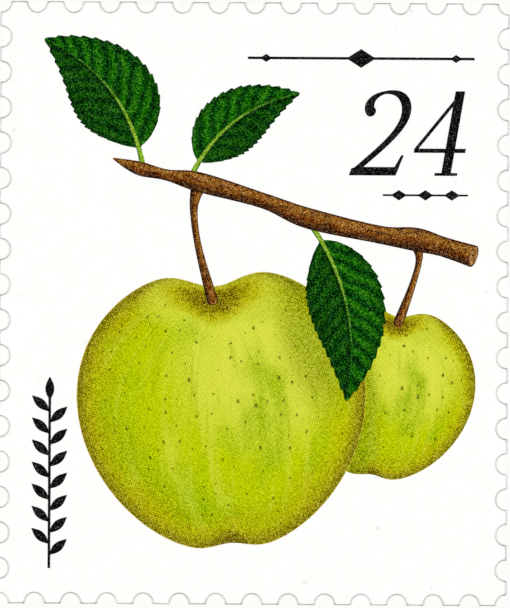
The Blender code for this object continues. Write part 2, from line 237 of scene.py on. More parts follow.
def notch_arcs(side, set_back):
    """Centre + radius * (cos q * along + sin q * inward), mouth to mouth; a quarter at the corner."""
    radius = NOTCH_RADIUS + set_back
    mouth = np.arcsin((set_back - NOTCH_SET_IN) / radius)
    tooth = np.arange(PITCHES[side])[:, None] * LENGTHS[side] / PITCHES[side]
    centres = CORNERS[side] + tooth * ALONG[side] + NOTCH_SET_IN * INWARD[side]
    centres[0] += NOTCH_SET_IN * ALONG[side]
    start = np.full(PITCHES[side], np.pi - mouth)
    start[0] = np.pi / 2 - mouth
    share = np.linspace(0, 1, NOTCH_STEPS + 1)[None, :]
    q = (start[:, None] * (1 - share) + mouth * share)[..., None]
    arcs = centres[:, None, :] + radius * (np.cos(q) * ALONG[side] + np.sin(q) * INWARD[side])
    runs = CORNER_RUNS[side] + tooth + NOTCH_RADIUS * (2 * share - 1)
    return arcs, runs


def die_cut_edge(set_back):
    """The closed outline, counter-clockwise, with each point's run: arcs, and straight lands between."""
    sides = [notch_arcs(side, set_back) for side in range(4)]
    arcs = np.concatenate([arcs for arcs, runs in sides])
    runs = np.concatenate([runs for arcs, runs in sides])
    next_run = np.roll(runs[:, :1], -1, axis=0)
    next_run[-1] += CORNER_RUNS[-1]
    share = np.arange(1, LAND_STEPS)[None, :] / LAND_STEPS
    land_runs = runs[:, -1:] * (1 - share) + next_run * share
    share = share[..., None]
    lands = arcs[:, -1:, :] * (1 - share) + np.roll(arcs, -1, axis=0)[:, :1, :] * share
    outline = np.concatenate([arcs, lands], axis=1).reshape(-1, 2)
    return outline, np.concatenate([runs, land_runs], axis=1).ravel()


def level_share(outline):
    """Square of the level part of the direction of travel: 1 on a level cut, 0 on an upright one."""
    travel = np.roll(outline, -1, axis=0) - np.roll(outline, 1, axis=0)
    return travel[:, 0]**2 / (travel**2).sum(axis=1)


def to_nearest_mouth(outline):
    """Distance from each point of the outline to the nearest end of a notch."""
    arcs = outline.reshape(sum(PITCHES), -1, 2)
    mouths = arcs[:, [0, NOTCH_STEPS]].reshape(-1, 2)
    return np.linalg.norm(outline[:, None, :] - mouths, axis=2).min(axis=1)


def rectangle_at(runs, inset):
    """Each run's point on the plain rectangle, moved in until it lies in the one set in by inset."""
    run = np.mod(runs, CORNER_RUNS[-1])
    side = np.clip(np.searchsorted(CORNER_RUNS, run, side="right") - 1, 0, 3)
    on_edge = CORNERS[side] + (run - CORNER_RUNS[side])[:, None] * ALONG[side]
    limit = SHEET / 2 - inset
    return np.clip(on_edge, -limit, limit)


print("die", len(die_cut_edge(0.0)[0]), "points for", sum(PITCHES), "notches")

# %% [markdown]
# Paper and glue
#
# A cutting rule presses the paper down before it goes through, so the cut has a rolled upper
# edge and a plain wall. A bevel modifier could round it, but it would trip over the narrow lands.
# Here the profile is drawn directly: up the wall, round a quarter circle, then over the flat
# through ever smaller rectangles that close on a line in the middle. The glue was spread before
# the cut and the rule drags it back a little, so its sheet is the same shape set back. A slow
# wobble of a few thousandths of a millimetre keeps the cut from looking drawn. Each point carries
# how much the rule has pressed it, how near it lies to a tooth's corner and how level the cut
# runs there, for the finish.

# %% The die-cut sheets
RIM_STEPS = 6
PRESSED_REACH = 0.035 * MM
CORNER_REACH = 0.07 * MM
FLAT_INSETS = np.array([0.8 * MM, 2.2 * MM, 5.5 * MM, SHEET[0] / 2])
PAPER_RIM = 0.03 * MM
GLUE_RIM = 0.006 * MM
GLUE_SET_BACK = 0.03 * MM
WOBBLE = 0.004 * MM
WOBBLE_WAVES = ((37, 0.6), (61, 2.1), (113, 4.4), (173, 1.3))


def cut_wobble(runs):
    """Sideways drift of the rule: a mean of sines of whole numbers of waves round the sheet."""
    turn = 2 * np.pi * runs / CORNER_RUNS[-1]
    waves = [np.sin(count * turn + phase) for count, phase in WOBBLE_WAVES]
    return WOBBLE * np.mean(waves, axis=0)


def die_cut_sheet(name, bottom, top, set_back, rim):
    """Flat underside, wall, quarter circle (back by rim (1 - cos q), up by rim sin q), flat.

    cut = (1 where pressed, nearness to a tooth's corner, share of the cut that runs level).
    """
    q = np.linspace(0, np.pi / 2, RIM_STEPS + 1)
    backs = set_back + np.concatenate([[0.0], rim * (1 - np.cos(q)), [rim + PRESSED_REACH]])
    heights = np.concatenate([[bottom], top - rim * (1 - np.sin(q)), [top]])
    outline, runs = die_cut_edge(0.0)
    wobble = 1 + cut_wobble(runs)[:, None] / (SHEET.mean() / 2)
    cut = [(die_cut_edge(back)[0] * wobble, height) for back, height in zip(backs, heights)]
    below = [(rectangle_at(runs, inset), bottom) for inset in FLAT_INSETS[::-1]]
    above = [(rectangle_at(runs, inset), top) for inset in FLAT_INSETS]
    rings = below + cut + above
    rows = np.array([np.column_stack([flat, np.full(len(flat), height)]) for flat, height in rings])
    # pressed, corner and level steer the shade that the paper's finish paints along the cut
    pressed = np.zeros(rows.shape[:2])
    pressed[len(below):len(below) + len(cut) - 1] = 1.0
    corner = np.exp(-(to_nearest_mouth(outline) / CORNER_REACH)**2) + 0 * pressed
    level = level_share(outline) + 0 * pressed
    return grid_piece(name, rows, cut=np.stack([pressed, corner, level], axis=2))


stamp_paper = die_cut_sheet("stamp_paper", paper_low[2], PAPER_TOP, 0.0, PAPER_RIM)
stamp_glue = die_cut_sheet("stamp_glue", glue_low[2], glue_high[2], GLUE_SET_BACK, GLUE_RIM)

# %% [markdown]
# Small words for node trees
#
# A node material is a drawing of a formula. Written out node by node it's hard to read, so these
# helpers each add a node or two, plug in what they read and hand back what they give. A plain
# number or colour is written on the socket, and an output is linked to it.

# %% Node helpers
def plug(tree, socket, value):
    """Link an output to a socket, or write a number, a vector or a colour on it."""
    if isinstance(value, bpy.types.NodeSocket):
        tree.links.new(value, socket)
    else:
        socket.default_value = value


def add_node(tree, kind, inputs, **settings):
    """One node with its own settings, and with its named inputs plugged."""
    node = tree.nodes.new(kind)
    for key, value in settings.items():
        setattr(node, key, value)
    for key, value in inputs.items():
        plug(tree, node.inputs[key], value)
    return node


def calc(tree, operation, *values, clamp=False):
    """One step of arithmetic."""
    inputs = dict(enumerate(values))
    return add_node(tree, "ShaderNodeMath", inputs, operation=operation, use_clamp=clamp).outputs[0]


def mix_colour(tree, factor, under, over, method="MIX"):
    """Blend two colours by a factor."""
    inputs = {0: factor, 6: under, 7: over}
    return add_node(tree, "ShaderNodeMix", inputs, data_type="RGBA", blend_type=method).outputs[2]


def blend(tree, factor, under, over):
    """Blend two numbers by a factor."""
    inputs = {0: factor, 2: under, 3: over}
    return add_node(tree, "ShaderNodeMix", inputs, data_type="FLOAT").outputs[0]


def soft_step(tree, value, start, end, high=1.0):
    """0 up to start, high from end, and an S-curve between; it falls instead where end is below start."""
    inputs = {"Value": value, "From Min": start, "From Max": end, "To Max": high}
    node = add_node(tree, "ShaderNodeMapRange", inputs, interpolation_type="SMOOTHSTEP")
    return node.outputs[0]


def parts_of(tree, vector):
    """The three parts of a vector."""
    return add_node(tree, "ShaderNodeSeparateXYZ", {0: vector}).outputs


def stretched(tree, vector, scale):
    """The same vector with its axes scaled, to change its unit or to stretch a pattern."""
    return add_node(tree, "ShaderNodeMapping", {"Vector": vector, "Scale": scale}).outputs[0]


def read(tree, attribute):
    """A piece's own attribute, stored on its points."""
    return add_node(tree, "ShaderNodeAttribute", {}, attribute_name=attribute).outputs["Vector"]


def in_mm(tree):
    """Object coordinates in millimetres, so that every scale below reads as features per millimetre."""
    return stretched(tree, add_node(tree, "ShaderNodeTexCoord", {}).outputs["Object"], (1 / MM,) * 3)


def noise(tree, vector, scale, detail=2.0, roughness=0.5):
    """Cloudy noise around 0.5, with scale features to the unit; detail adds finer layers to it."""
    inputs = {"Vector": vector, "Scale": scale, "Detail": detail, "Roughness": roughness}
    return add_node(tree, "ShaderNodeTexNoise", inputs).outputs[0]


def swayed(tree, value, cloud, swing):
    """value + swing * (cloud - 0.5): a cloud, which lies around 0.5, moves the value to and fro."""
    return calc(tree, "MULTIPLY_ADD", calc(tree, "SUBTRACT", cloud, 0.5), swing, value)


def bumpy(tree, shader, height, strength, distance):
    """Let a height tilt the surface in the light."""
    inputs = {"Height": height, "Strength": strength, "Distance": distance}
    plug(tree, shader["Normal"], add_node(tree, "ShaderNodeBump", inputs).outputs[0])


def new_material(name):
    """A material, its tree and its shader's inputs; the shader is joined to the output already."""
    material = bpy.data.materials.new(name)
    material.use_nodes = True
    return material, material.node_tree, material.node_tree.nodes["Principled BSDF"].inputs


# %% [markdown]
# White coated paper
#
# Stamp paper is a dull coated white. Under a scanner it is almost pure white, with a faint cloudy
# look from the fibres, a stray grey speck here and there, and a rougher, greyer core where the cut
# shows it. All of it comes from noise in Object coordinates, which stay with the sheet. Along the
# cut a painted shade stands in for the shadow of the cut: a grey, now more, now less, far darker
# where the cut runs level, which turns away from the strong side lights, than where it runs
# upright, and darkest at the corners of the teeth. The height noise goes through a Bump node,
# because the tooth of the paper is too fine for geometry.

# %% The paper's finish
def painted_cut_shade(tree, spot, colour):
    """Painted cut shade: grey by pressed * (0.1 + 0.42 level + 0.33 noise), darker by pressed * corner *
    noise.
    """
    # painted shade along the die cut: grey, darker where the cut runs level, darkest at the teeth corners
    cut_shade_grey = (0.24, 0.24, 0.24, 1.0)
    corner_shade_grey = (0.12, 0.12, 0.12, 1.0)
    pressed, corner, level = parts_of(tree, read(tree, "cut"))
    uneven = soft_step(tree, noise(tree, spot, 1.3, detail=4.0, roughness=0.65), 0.3, 0.7)
    cut_shade_share = calc(tree, "MULTIPLY_ADD", level, 0.42, calc(tree, "MULTIPLY_ADD", uneven, 0.33, 0.1))
    colour = mix_colour(tree, calc(tree, "MULTIPLY", pressed, cut_shade_share), colour, cut_shade_grey)
    patches = soft_step(tree, noise(tree, spot, 0.9, detail=1.0), 0.3, 0.6, high=0.6)
    corner_shade_share = calc(tree, "MULTIPLY", corner, patches)
    return mix_colour(tree, calc(tree, "MULTIPLY", pressed, corner_shade_share), colour, corner_shade_grey)


def paper_finish():
    """Coat white, clouded by noise, specks where fine noise peaks, a greyer core below the coat."""
    material, tree, shader = new_material("coated_paper")
    spot = in_mm(tree)
    coat = (0.96, 0.96, 0.945, 1.0)
    cloud = (0.94, 0.94, 0.91, 1.0)
    speck = (0.7, 0.69, 0.66, 1.0)
    core = (0.84, 0.835, 0.81, 1.0)
    top = PAPER_TOP / MM
    clouded = mix_colour(tree, soft_step(tree, noise(tree, spot, 1.6, detail=4.0), 0.4, 0.75), coat, cloud)
    specks = soft_step(tree, noise(tree, spot, 3.1, detail=0.0), 0.84, 0.9, high=0.5)
    # the painted shade along the cut goes into the paper's colour here
    speckled = painted_cut_shade(tree, spot, mix_colour(tree, specks, clouded, speck))
    below_coat = soft_step(tree, parts_of(tree, spot)[2], top - 0.02, top - 0.035)
    plug(tree, shader["Base Color"], mix_colour(tree, below_coat, speckled, core))
    plug(tree, shader["Roughness"], soft_step(tree, noise(tree, spot, 6.0), 0.0, 1.0, high=0.9))
    fibres = noise(tree, stretched(tree, spot, (1.0, 2.2, 1.0)), 9.0, detail=5.0, roughness=0.6)
    bumpy(tree, shader, fibres, strength=0.15, distance=0.004 * MM)
    shader["Specular IOR Level"].default_value = 0.2
    return material


place(stamp_paper, paper_finish(), "paper", "face_paper")

# %% [markdown]
# The glue
#
# The film of glue is only seen from below and as a hair line at the edge. It's clear and glossy,
# pale cream over the paper, laid down by a bar that leaves long faint streaks and a few bubbles.
# Streaks are noise stretched along the web, and bubbles are the small round cells of a Voronoi
# pattern.

# %% The glue's finish
def glue_finish():
    """Cream film: streaks are noise stretched along y, bubbles lie where a Voronoi distance is small."""
    material, tree, shader = new_material("clear_glue")
    spot = in_mm(tree)
    cream = (0.88, 0.87, 0.8, 1.0)
    thick_cream = (0.8, 0.78, 0.68, 1.0)
    air = (0.93, 0.93, 0.9, 1.0)
    streaks = noise(tree, stretched(tree, spot, (1.0, 0.08, 1.0)), 1.6, detail=4.0)
    film = mix_colour(tree, soft_step(tree, streaks, 0.35, 0.7), cream, thick_cream)
    cells = add_node(tree, "ShaderNodeTexVoronoi", {"Vector": spot, "Scale": 0.9})
    bubbles = soft_step(tree, cells.outputs["Distance"], 0.13, 0.09)
    plug(tree, shader["Base Color"], mix_colour(tree, bubbles, film, air))
    plug(tree, shader["Roughness"], soft_step(tree, streaks, 0.0, 1.0, high=0.5))
    bumpy(tree, shader, calc(tree, "ADD", streaks, bubbles), strength=0.3, distance=0.003 * MM)
    shader["Coat Weight"].default_value = 0.6
    shader["Coat Roughness"].default_value = 0.12
    return material


place(stamp_glue, glue_finish(), "adhesive", "adhesive_film")

# %% [markdown]
# The ground's finish
#
# The ground is a plain pale white, a little rough and a touch warmer than the stamp's coating, with
# a slow cloudiness of two to four parts in a hundred.

# %% The floor's finish
def floor_finish():
    """Near white, clouded by slow noise."""
    material, tree, shader = new_material("plain_ground")
    pale = (0.935, 0.935, 0.918, 1.0)
    warm = (0.915, 0.915, 0.88, 1.0)
    clouds = soft_step(tree, noise(tree, in_mm(tree), 0.3), 0.3, 0.7)
    plug(tree, shader["Base Color"], mix_colour(tree, clouds, pale, warm))
    shader["Roughness"].default_value = 0.8
    shader["Specular IOR Level"].default_value = 0.1
    return material


floor.data.materials.append(floor_finish())
print("paper, glue and ground finished")

# %% [markdown]
# Ink in tiny dots
#
# Offset printing can't thin its inks. It prints cyan, magenta, yellow and black in ranks of dots
# that are closer than the eye can part, and a deeper tone is the same ink in bigger dots. Each ink
# has its own screen angle, so that the ranks don't beat against one another. An image could carry
# this, but a formula stays sharp at any distance: one node group takes the four dot sizes, draws
# the dots and gives the colour where they fall. Wet ink creeps between the dots, more so in the
# three colours than in the black, so each ink has a crisp share that stays in its dots while the
# rest spreads evenly. The grain of the paper frays all four screens, the black one most of all.

# %% The four screens
PAPER_WHITE = (0.96, 0.96, 0.945, 1.0)
SCREENS = {
    "cyan": {"ink": (0.0, 0.35, 0.81, 1.0), "angle": 18.4, "pitch": 0.0945, "crisp": 0.25, "fray": 0.12},
    "magenta": {"ink": (0.78, 0.0, 0.21, 1.0), "angle": 71.6, "pitch": 0.0945, "crisp": 0.3, "fray": 0.12},
    "yellow": {"ink": (1.0, 0.93, 0.0, 1.0), "angle": 0.0, "pitch": 0.085, "crisp": 0.1, "fray": 0.12},
    "black": {"ink": (0.0008, 0.0009, 0.001, 1.0), "angle": 45.0, "pitch": 0.085, "crisp": 0.4, "fray": 0.16},
}
DOT_HARDNESS = 4.0
EVEN_SPREAD = 0.637


def dot_field(tree, spot, angle, pitch):
    """e = (cos u + cos v) / 2 on a turned grid, then 0.5 + 0.5 sign(e) |e|^0.637, evenly spread."""
    turn = (0.0, 0.0, np.radians(angle))
    inputs = {"Vector": spot, "Rotation": turn, "Scale": (2 * np.pi / pitch,) * 3}
    turned = parts_of(tree, add_node(tree, "ShaderNodeMapping", inputs).outputs[0])
    waves = calc(tree, "ADD", calc(tree, "COSINE", turned[0]), calc(tree, "COSINE", turned[1]))
    even = calc(tree, "MULTIPLY", waves, 0.5)
    size = calc(tree, "POWER", calc(tree, "ABSOLUTE", even), EVEN_SPREAD)
    signed = calc(tree, "MULTIPLY", size, calc(tree, "SIGN", even))
    return calc(tree, "MULTIPLY_ADD", signed, 0.5, 0.5)


def wet_with(tree, field, coverage, crisp):
    """1 where the field is above 1 - coverage, 0 all over at coverage 0, then spread by 1 - crisp."""
    edge = 0.5 / DOT_HARDNESS
    threshold = calc(tree, "MULTIPLY_ADD", coverage, -1 - 2 * edge, 1 + edge)
    above = calc(tree, "SUBTRACT", field, threshold)
    dots = calc(tree, "MULTIPLY_ADD", above, DOT_HARDNESS, 0.5, clamp=True)
    return blend(tree, crisp, coverage, dots)


def build_screens():
    """Group: paper white, multiplied by each ink where that ink's dots are wet."""
    tree = bpy.data.node_groups.new("four_screens", "ShaderNodeTree")
    tree.interface.new_socket("Dots", in_out="INPUT", socket_type="NodeSocketColor")
    tree.interface.new_socket("Black", in_out="INPUT", socket_type="NodeSocketFloat")
    tree.interface.new_socket("Colour", in_out="OUTPUT", socket_type="NodeSocketColor")
    given = tree.nodes.new("NodeGroupInput").outputs
    shares = add_node(tree, "ShaderNodeSeparateColor", {0: given["Dots"]}).outputs
    coverages = (shares[0], shares[1], shares[2], given["Black"])
    spot = in_mm(tree)
    grain = noise(tree, spot, 20.0, detail=1.0)
    colour = PAPER_WHITE
    for screen, coverage in zip(SCREENS.values(), coverages):
        dots = dot_field(tree, spot, screen["angle"], screen["pitch"])
        field = swayed(tree, dots, grain, screen["fray"])
        wet = wet_with(tree, field, coverage, screen["crisp"])
        colour = mix_colour(tree, wet, colour, screen["ink"], method="MULTIPLY")
    plug(tree, tree.nodes.new("NodeGroupOutput").inputs["Colour"], colour)
    return tree


four_screens = build_screens()
print("screens", len(four_screens.nodes), "nodes")

# %% [markdown]
# Tones as recipes
#
# A printer doesn't think in red, green and blue but in how much of each ink a tone takes. So a
# tone here is a recipe of four dot sizes, and painting is laying one recipe over another by a
# factor that some form or pattern gives. The recipes were worked out backwards: the colour wanted,
# divided by paper white, is the product of what each ink lets through.
#
# Up close a printed tone is sandy: each grain of the paper takes a little more or less ink. The eye
# sees equal steps of lightness, which is about the 2.2nd root of light, so the grain is added to
# that root and then raised back. It hardly shows in a light tone and most in a dark one.

# %% Tones and the ink film
def recipe(cyan, magenta, yellow, black):
    """A tone: the share of the paper that each ink's dots cover."""
    return (cyan, magenta, yellow, 1.0), black


BARE = recipe(0.0, 0.0, 0.0, 0.0)
SOLID_BLACK = recipe(0.0, 0.0, 0.0, 1.0)


def lay(tree, factor, under, over):
    """Lay a tone over another: each of the four dot sizes moves from under to over by the factor."""
    return mix_colour(tree, factor, under[0], over[0]), blend(tree, factor, under[1], over[1])


GRAINS_PER_MM = 29.0
GRAIN_SWING = 0.48
GRAIN_MIDDLE = 0.6
LIGHTNESS_ROOT = 2.2


def grained(tree, spot, colour):
    """The colour's root plus swing * (each cell's random number - 0.6), then raised back."""
    root = add_node(tree, "ShaderNodeGamma", {"Color": colour, "Gamma": 1 / LIGHTNESS_ROOT}).outputs[0]
    lightness = add_node(tree, "ShaderNodeRGBToBW", {"Color": root}).outputs[0]
    swing = soft_step(tree, lightness, 0.88, 0.5, high=GRAIN_SWING)
    inputs = {"Vector": spot, "Scale": GRAINS_PER_MM}
    cells = add_node(tree, "ShaderNodeTexVoronoi", inputs, voronoi_dimensions="2D").outputs
    random = calc(tree, "SUBTRACT", parts_of(tree, cells["Color"])[0], GRAIN_MIDDLE)
    inputs = {0: 1.0, 6: root, 7: calc(tree, "MULTIPLY", random, swing)}
    sum_node = add_node(tree, "ShaderNodeMix", inputs, data_type="RGBA", blend_type="ADD", clamp_result=True)
    inputs = {"Color": sum_node.outputs[2], "Gamma": LIGHTNESS_ROOT}
    return add_node(tree, "ShaderNodeGamma", inputs).outputs[0]


def printed(name, paint):
    """A dull ink film: the tone that paint lays, screened into dots and grained."""
    material, tree, shader = new_material(name)
    spot = in_mm(tree)
    dots, black = paint(tree, spot)
    screens = add_node(tree, "ShaderNodeGroup", {}, node_tree=four_screens)
    plug(tree, screens.inputs["Dots"], dots)
    plug(tree, screens.inputs["Black"], black)
    plug(tree, shader["Base Color"], grained(tree, spot, screens.outputs["Colour"]))
    plug(tree, shader["Roughness"], soft_step(tree, noise(tree, spot, 5.0), 0.0, 1.0, high=0.8))
    bumpy(tree, shader, noise(tree, spot, 9.0, detail=4.0), strength=0.1, distance=0.002 * MM)
    shader["Specular IOR Level"].default_value = 0.01
    return material


# %% [markdown]
# The value number, the rules and the sprig
#
# These are flat shapes with crisp edges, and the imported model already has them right, so they
# stay and only get their ink: a solid black. Up close a solid isn't perfect: tiny pale specks are
# left where the paper's grain keeps the ink off.

# %% The black ink
BLACK_NODES = ("print_numeral_2", "print_numeral_4", "print_rule", "print_small_rule", "print_sprig")


def paint_black(tree, spot):
    """Solid black, with tiny pale specks where fine noise peaks."""
    specks = soft_step(tree, noise(tree, spot, 15.0, detail=1.0), 0.57, 0.75, high=0.14)
    return lay(tree, specks, SOLID_BLACK, BARE)


black_ink = printed("black_ink", paint_black)
for node_name in BLACK_NODES:
    for material_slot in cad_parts[node_name].material_slots:
        material_slot.material = black_ink
print("black ink on", len(BLACK_NODES), "nodes")

# %% [markdown]
# Ink lies in levels
#
# Where the picture overlaps itself, the press leaves no gap, but two surfaces at one height would
# flicker in the render. So each ink piece is a closed sheet a thousandth of a millimetre thick at
# a level of its own, the nearer thing on the higher level, all inside the ink's height on the
# model. Along with its points each piece carries attributes, which tell the paint where on the
# pictured thing a point lies.

# %% Levels of ink
LEVELS = 5
LEVEL_RISE = (ink_high[2] - ink_low[2]) / LEVELS
FILM = 0.6 * LEVEL_RISE


def film_heights(level):
    """Underside and top of the ink sheet on a level."""
    bottom = ink_low[2] + level * LEVEL_RISE
    return bottom, bottom + FILM


print("ink films", round(FILM / MM * 1000, 2), "thousandths of a millimetre thick")

# %% [markdown]
# Round shapes
#
# A round thing in the picture is a sheet made of rings. Each point knows where on a ball it would
# lie, facing the reader: the ring's reach gives how far out, and what is left of the radius gives
# how far forward. Those ball points are what the paint shades, streaks and speckles, so that the
# print looks round although it's flat. The back, which nobody sees, has every eighth ring only.

# %% Sheets of rings
RINGS = 40
BACK_STRIDE = 8


def ball_points(a):
    """Rings at sin(90 degrees * share), over the top and back below: (r cos a, r sin a, sqrt(1 - r^2))."""
    reach = np.sin(np.linspace(0, np.pi / 2, RINGS + 1))
    reach = np.concatenate([reach, reach[::-BACK_STRIDE]])[:, None]
    forward = np.sqrt(np.maximum(0.0, 1 - reach**2)) + 0 * a
    return reach, np.stack([reach * np.cos(a), reach * np.sin(a), forward], axis=2)


def ring_sheet(name, centre, outline, a, level, **attributes):
    """Each ring is the outline drawn in to its reach about the centre; outline in millimetres."""
    reach, ball = ball_points(a)
    bottom, top = film_heights(level)
    flat = (np.array(centre) + reach[..., None] * outline) * MM
    height = np.where(np.arange(len(reach)) <= RINGS, top, bottom)[:, None] + 0 * a
    return grid_piece(name, np.dstack([flat, height]), ball=ball, **attributes)


def turned(x, y, degrees):
    """Points turned about the origin, as rows of x and y."""
    c, s = np.cos(np.radians(degrees)), np.sin(np.radians(degrees))
    return np.stack([x * c - y * s, x * s + y * c], axis=1)


# %% [markdown]
# The apples' shape
#
# An apple in side view is a circle with two dimples. The outline is the circle's own point at each
# angle, pulled in near the top for the stalk and near the bottom for the eye. The picture looks a
# little down on the fruit, so a second attribute turns the ball points until the pole sits where
# the stalk stands: it holds the direction round the fruit and the height along its axis.

# %% The apples
APPLES = {
    "apple_front": {"centre": (-1.3, -4.45), "half": (6.1, 6.1), "lean": 4.0, "level": 1},
    "apple_back": {"centre": (5.6, -3.7), "half": (3.75, 3.8), "lean": -9.0, "level": 0},
}
APPLE_COLUMNS = 240
SHOULDER = 0.095
STALK_DIMPLE = {"depth": 0.15, "width": 0.25}
EYE_DIMPLE = {"depth": 0.065, "width": 0.17}
LOOKING_DOWN = np.radians(28.6)
POLE_GIRTH = 1e-6


def dimple(across, depth, width):
    """The share that a dimple takes off: depth * exp(-(across / width)^2)."""
    return depth * np.exp(-(across / width)**2)


def apple_outline(half, lean, a):
    """across = cos a (1 + shoulder * sin a); up = sin a (1 - dimple), the stalk's above, the eye's below."""
    across = np.cos(a) * (1 + SHOULDER * np.sin(a))
    stalk = dimple(across, **STALK_DIMPLE)
    eye = dimple(across, **EYE_DIMPLE)
    up = np.sin(a) * (1 - np.where(np.sin(a) > 0, stalk, eye))
    return turned(half[0] * across, half[1] * up, lean)


def apple_sheet(name, centre, half, lean, level):
    """skin = (direction round the fruit's axis, as sine and cosine, and the height along the axis)."""
    a = np.linspace(0, 2 * np.pi, APPLE_COLUMNS, endpoint=False)
    ball = ball_points(a)[1]
    height = ball[..., 1] * np.cos(LOOKING_DOWN) + ball[..., 2] * np.sin(LOOKING_DOWN)
    outward = ball[..., 2] * np.cos(LOOKING_DOWN) - ball[..., 1] * np.sin(LOOKING_DOWN)
    girth = np.hypot(ball[..., 0], outward) + POLE_GIRTH
    skin = np.stack([ball[..., 0] / girth, outward / girth, height], axis=2)
    return ring_sheet("ink_" + name, centre, apple_outline(half, lean, a), a, level, skin=skin)


apples = {name: apple_sheet(name, **form) for name, form in APPLES.items()}

# %% [markdown]
# The apples' skin
#
# A green apple is painted here the way a botanical artist would lay it in, from large to small:
# light and shade of the ball, greener patches, fine streaks that run from stalk to eye, a warm
# brown turn at the rim, a rusty star round the stalk, and last the little spots called lenticels.
# Each feature is a short function that takes the tone so far and lays one more over it.

# %% The skin's large forms
SKIN_LIT = recipe(0.29, 0.0, 0.92, 0.02)
SKIN_MID = recipe(0.46, 0.02, 1.0, 0.04)
SKIN_SHADE = recipe(0.6, 0.1, 1.0, 0.1)
SKIN_GREEN = recipe(0.62, 0.03, 1.0, 0.06)
SKIN_OCHRE = recipe(0.43, 0.27, 1.0, 0.13)
SKIN_RIM = recipe(0.65, 0.49, 0.99, 0.3)
SKIN_FRINGE = recipe(0.16, 0.3, 0.92, 0.0)
TOWARDS_LIGHT = (0.31, 0.3, 0.9)


def paint_ball(tree, ball):
    """Shade, middle and lit tones by the cosine of the angle to the light."""
    dot = add_node(tree, "ShaderNodeVectorMath", {0: ball, 1: TOWARDS_LIGHT}, operation="DOT_PRODUCT")
    light = dot.outputs["Value"]
    tone = lay(tree, soft_step(tree, light, 0.1, 0.75), SKIN_SHADE, SKIN_MID)
    return lay(tree, soft_step(tree, light, 0.72, 0.99, high=0.9), tone, SKIN_LIT)


def paint_patches(tree, ball, tone):
    """Greener clouds, a third of the fruit wide and twice as tall."""
    clouds = noise(tree, stretched(tree, ball, (2.6, 1.3, 2.6)), 1.0)
    return lay(tree, soft_step(tree, clouds, 0.45, 0.7, high=0.9), tone, SKIN_GREEN)


def paint_streaks(tree, skin, tone):
    """Streaks from stalk to eye: noise that changes fast round the fruit and slowly along it."""
    broad = noise(tree, stretched(tree, skin, (7.0, 7.0, 1.1)), 1.0, detail=3.0)
    tone = lay(tree, soft_step(tree, broad, 0.5, 0.72, high=0.5), tone, SKIN_LIT)
    fine = noise(tree, stretched(tree, skin, (19.0, 19.0, 2.0)), 1.0)
    return lay(tree, soft_step(tree, fine, 0.56, 0.74, high=0.34), tone, SKIN_SHADE)


def paint_rim(tree, ball, spot, tone):
    """Ochre where the ball starts to turn away, brown at its rim, a thin warm fringe at the very edge."""
    forward = parts_of(tree, ball)[2]
    clouded = swayed(tree, forward, noise(tree, ball, 3.0, detail=5.0, roughness=0.65), -0.6)
    tone = lay(tree, soft_step(tree, clouded, 0.78, 0.3, high=0.95), tone, SKIN_OCHRE)
    sandy = swayed(tree, forward, noise(tree, spot, 7.0, detail=3.0), -0.2)
    tone = lay(tree, soft_step(tree, sandy, 0.52, 0.1, high=0.85), tone, SKIN_RIM)
    return lay(tree, soft_step(tree, forward, 0.13, 0.05, high=0.8), tone, SKIN_FRINGE)


# %% [markdown]
# Hollow, spots and cast shadows
#
# The stalk stands in a hollow. Height along the fruit's axis gives its oval for nothing: all that
# is near the pole is dark, and noise that only changes round the pole breaks the edge into the
# rusty rays of a real apple. Spots are the cells of a Voronoi pattern. In three dimensions most of
# its cell points would miss the skin, so the ball is first flattened as a map maker would do it,
# seen from its far pole: x and y divided by one plus the forward part. Spots keep their shape in
# that map and crowd towards the rim. Shadows of the leaf and of the other apple are soft ovals.

# %% The skin's small features
SKIN_HOLLOW = recipe(0.68, 0.6, 1.0, 0.36)
SKIN_SPOT = recipe(0.74, 0.42, 1.0, 0.4)
SKIN_SHADOW = recipe(0.62, 0.22, 1.0, 0.3)
SPOTS_PER_MM = 2.8
SPOT_SIZE = 0.095
LEAF_SHADOW = {"centre": (2.75, -0.9), "radii": (2.3, 4.8), "turn": 10.0, "edge": 0.65, "high": 0.6}
APPLE_SHADOW = {"centre": (-1.45, -4.6), "radii": (7.2, 7.2), "turn": 0.0, "edge": 0.12, "high": 0.55}
ANY_DEPTH = 100.0


def soft_oval(tree, vector, centre, radii, turn=0.0):
    """1 in the middle of an oval and 0 from its edge outwards: 1 - length((point - centre) / radii)."""
    inputs = {"Vector": vector, "Location": (*centre, 0.0), "Rotation": (0.0, 0.0, np.radians(turn)),
              "Scale": (*radii, ANY_DEPTH)}
    local = add_node(tree, "ShaderNodeMapping", inputs, vector_type="TEXTURE").outputs[0]
    oval = add_node(tree, "ShaderNodeTexGradient", {"Vector": local}, gradient_type="SPHERICAL")
    return oval.outputs["Fac"]


def paint_hollow(tree, skin, tone):
    """Dark past a height on the axis, which noise round the axis sways into rays, and a lit lip outside."""
    height = parts_of(tree, skin)[2]
    rising = soft_step(tree, height, 0.84, 0.93)
    lip = calc(tree, "MULTIPLY", rising, soft_step(tree, height, 0.985, 0.95, high=0.5))
    tone = lay(tree, lip, tone, SKIN_LIT)
    rays = noise(tree, stretched(tree, skin, (4.0, 4.0, 0.6)), 1.0)
    rusty = swayed(tree, height, rays, 0.05)
    tone = lay(tree, soft_step(tree, rusty, 0.925, 0.98, high=0.85), tone, SKIN_OCHRE)
    return lay(tree, soft_step(tree, rusty, 0.962, 1.01, high=0.95), tone, SKIN_HOLLOW)


